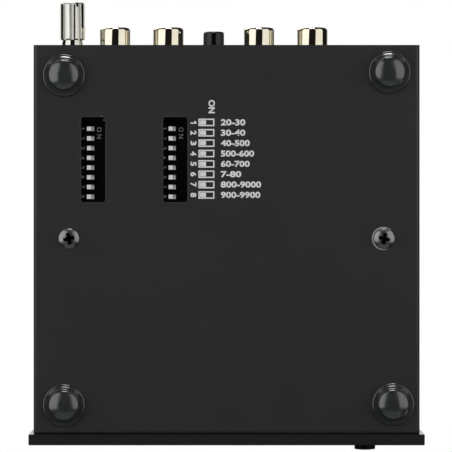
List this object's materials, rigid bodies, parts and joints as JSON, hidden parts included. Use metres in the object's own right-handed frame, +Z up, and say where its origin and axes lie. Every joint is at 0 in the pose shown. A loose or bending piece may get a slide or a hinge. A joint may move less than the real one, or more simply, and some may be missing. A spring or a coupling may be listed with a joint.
{
  "type": "phono preamplifier",
  "caption": "Small black steel phono preamplifier on rubber feet, with rear phono sockets, ground terminal, front push button and option switches behind windows in its base.",
  "frame": {"origin": "under the middle of the part's overall box, on the surface that the feet stand on", "axes": "+Z up, -Y towards the front panel, +Y towards the sockets, +X to the right seen from the front"},
  "size_m": [0.103, 0.1182, 0.037],
  "materials": {
    "black_steel": "fine matt black powder coat on folded steel sheet",
    "black_panel": "black anodised, fine satin",
    "rubber": "glossy black moulded rubber",
    "black_screw": "black zinc, satin",
    "bright_screw": "bright zinc",
    "standoff_brass": "turned brass",
    "board": "glass epoxy board with black solder mask",
    "socket_black": "moulded black plastic",
    "gold": "gold plated, polished",
    "insulator_white": "moulded white plastic",
    "insulator_red": "moulded red plastic",
    "contact_tin": "bright tin plating",
    "knob_chrome": "nickel chrome plating, polished",
    "wire_green": "PVC insulation",
    "switch_black": "moulded black plastic",
    "slider_white": "moulded white plastic",
    "button_black": "moulded black plastic, satin",
    "plunger_white": "moulded natural plastic",
    "spring_steel": "spring wire",
    "led_clear": "water clear epoxy",
    "chip_black": "moulded epoxy",
    "capacitor_sleeve": "shrink sleeve",
    "film_red": "box film capacitor case",
    "resistor_dark": "ceramic chip with a dark coat"
  },
  "bodies": {
    "case": {"chassis_tray": "black_steel", "rear_panel": "black_steel", "top_cover": "black_steel", "front_panel": "black_panel", "panel_screws": "bright_screw", "cover_screws": "black_screw", "feet": "rubber", "pcb_standoffs": "standoff_brass", "pcb_screws": "bright_screw", "main_pcb": "board", "rca_housing_input": "socket_black", "rca_housing_output": "socket_black", "dc_socket": "socket_black", "dc_contacts": "contact_tin", "ground_bushing": "knob_chrome", "ground_nut": "bright_screw", "ground_lug": "contact_tin", "ground_wire": "wire_green", "dip_block_outer": "switch_black", "dip_block_inner": "switch_black", "dip_leads": "contact_tin", "power_switch": "chip_black", "switch_spring": "spring_steel", "power_led": "led_clear", "integrated_circuits": "chip_black", "electrolytic_capacitors": "capacitor_sleeve", "film_capacitors": "film_red", "resistors": "resistor_dark", "rca_shell_1": "gold", "rca_contact_1": "gold", "rca_insulator_1": "insulator_white", "rca_shell_2": "gold", "rca_contact_2": "gold", "rca_insulator_2": "insulator_red", "rca_shell_3": "gold", "rca_contact_3": "gold", "rca_insulator_3": "insulator_white", "rca_shell_4": "gold", "rca_contact_4": "gold", "rca_insulator_4": "insulator_red"},
    "power_button": {"power_button": "button_black", "switch_plunger": "plunger_white"},
    "ground_washer": {"ground_washer": "knob_chrome"},
    "ground_knob": {"ground_knob": "knob_chrome"},
    "dip_slider_outer_1": {"dip_slider_outer_1": "slider_white"},
    "dip_slider_outer_2": {"dip_slider_outer_2": "slider_white"},
    "dip_slider_outer_3": {"dip_slider_outer_3": "slider_white"},
    "dip_slider_outer_4": {"dip_slider_outer_4": "slider_white"},
    "dip_slider_outer_5": {"dip_slider_outer_5": "slider_white"},
    "dip_slider_outer_6": {"dip_slider_outer_6": "slider_white"},
    "dip_slider_outer_7": {"dip_slider_outer_7": "slider_white"},
    "dip_slider_outer_8": {"dip_slider_outer_8": "slider_white"},
    "dip_slider_inner_1": {"dip_slider_inner_1": "slider_white"},
    "dip_slider_inner_2": {"dip_slider_inner_2": "slider_white"},
    "dip_slider_inner_3": {"dip_slider_inner_3": "slider_white"},
    "dip_slider_inner_4": {"dip_slider_inner_4": "slider_white"},
    "dip_slider_inner_5": {"dip_slider_inner_5": "slider_white"},
    "dip_slider_inner_6": {"dip_slider_inner_6": "slider_white"},
    "dip_slider_inner_7": {"dip_slider_inner_7": "slider_white"},
    "dip_slider_inner_8": {"dip_slider_inner_8": "slider_white"}
  },
  "joints": [
    {"name": "dip_slider_outer_1_slide", "type": "slide", "parent": "case", "child": "dip_slider_outer_1", "axis": [-1, 0, 0], "range_m": [0, 0.0013]},
    {"name": "dip_slider_outer_2_slide", "type": "slide", "parent": "case", "child": "dip_slider_outer_2", "axis": [-1, 0, 0], "range_m": [0, 0.0013]},
    {"name": "dip_slider_outer_3_slide", "type": "slide", "parent": "case", "child": "dip_slider_outer_3", "axis": [-1, 0, 0], "range_m": [0, 0.0013]},
    {"name": "dip_slider_outer_4_slide", "type": "slide", "parent": "case", "child": "dip_slider_outer_4", "axis": [-1, 0, 0], "range_m": [0, 0.0013]},
    {"name": "dip_slider_outer_5_slide", "type": "slide", "parent": "case", "child": "dip_slider_outer_5", "axis": [-1, 0, 0], "range_m": [0, 0.0013]},
    {"name": "dip_slider_outer_6_slide", "type": "slide", "parent": "case", "child": "dip_slider_outer_6", "axis": [-1, 0, 0], "range_m": [0, 0.0013]},
    {"name": "dip_slider_outer_7_slide", "type": "slide", "parent": "case", "child": "dip_slider_outer_7", "axis": [-1, 0, 0], "range_m": [0, 0.0013]},
    {"name": "dip_slider_outer_8_slide", "type": "slide", "parent": "case", "child": "dip_slider_outer_8", "axis": [-1, 0, 0], "range_m": [0, 0.0013]},
    {"name": "dip_slider_inner_1_slide", "type": "slide", "parent": "case", "child": "dip_slider_inner_1", "axis": [-1, 0, 0], "range_m": [0, 0.0013]},
    {"name": "dip_slider_inner_2_slide", "type": "slide", "parent": "case", "child": "dip_slider_inner_2", "axis": [-1, 0, 0], "range_m": [0, 0.0013]},
    {"name": "dip_slider_inner_3_slide", "type": "slide", "parent": "case", "child": "dip_slider_inner_3", "axis": [-1, 0, 0], "range_m": [0, 0.0013]},
    {"name": "dip_slider_inner_4_slide", "type": "slide", "parent": "case", "child": "dip_slider_inner_4", "axis": [-1, 0, 0], "range_m": [0, 0.0013]},
    {"name": "dip_slider_inner_5_slide", "type": "slide", "parent": "case", "child": "dip_slider_inner_5", "axis": [-1, 0, 0], "range_m": [0, 0.0013]},
    {"name": "dip_slider_inner_6_slide", "type": "slide", "parent": "case", "child": "dip_slider_inner_6", "axis": [-1, 0, 0], "range_m": [0, 0.0013]},
    {"name": "dip_slider_inner_7_slide", "type": "slide", "parent": "case", "child": "dip_slider_inner_7", "axis": [-1, 0, 0], "range_m": [0, 0.0013]},
    {"name": "dip_slider_inner_8_slide", "type": "slide", "parent": "case", "child": "dip_slider_inner_8", "axis": [-1, 0, 0], "range_m": [0, 0.0013]},
    {"name": "power_button_push", "type": "slide", "parent": "case", "child": "power_button", "axis": [0, 1, 0], "range_m": [0, 0.0018], "stiffness_N_per_m": 300, "springref_m": -0.002, "deforming": ["switch_spring"]},
    {"name": "ground_clamp_slide", "type": "slide", "parent": "case", "child": "ground_washer", "axis": [0, 1, 0], "range_m": [0, 0.0027]},
    {"name": "ground_knob_turn", "type": "hinge", "parent": "ground_washer", "child": "ground_knob", "pos_m": [0.0408, 0.0491, 0.024], "axis": [0, 1, 0], "range_deg": [0, 2160]}
  ],
  "couplings": [
    {"joint": "ground_knob_turn", "follows": "ground_clamp_slide", "rad_per_m": 13963}
  ]
}
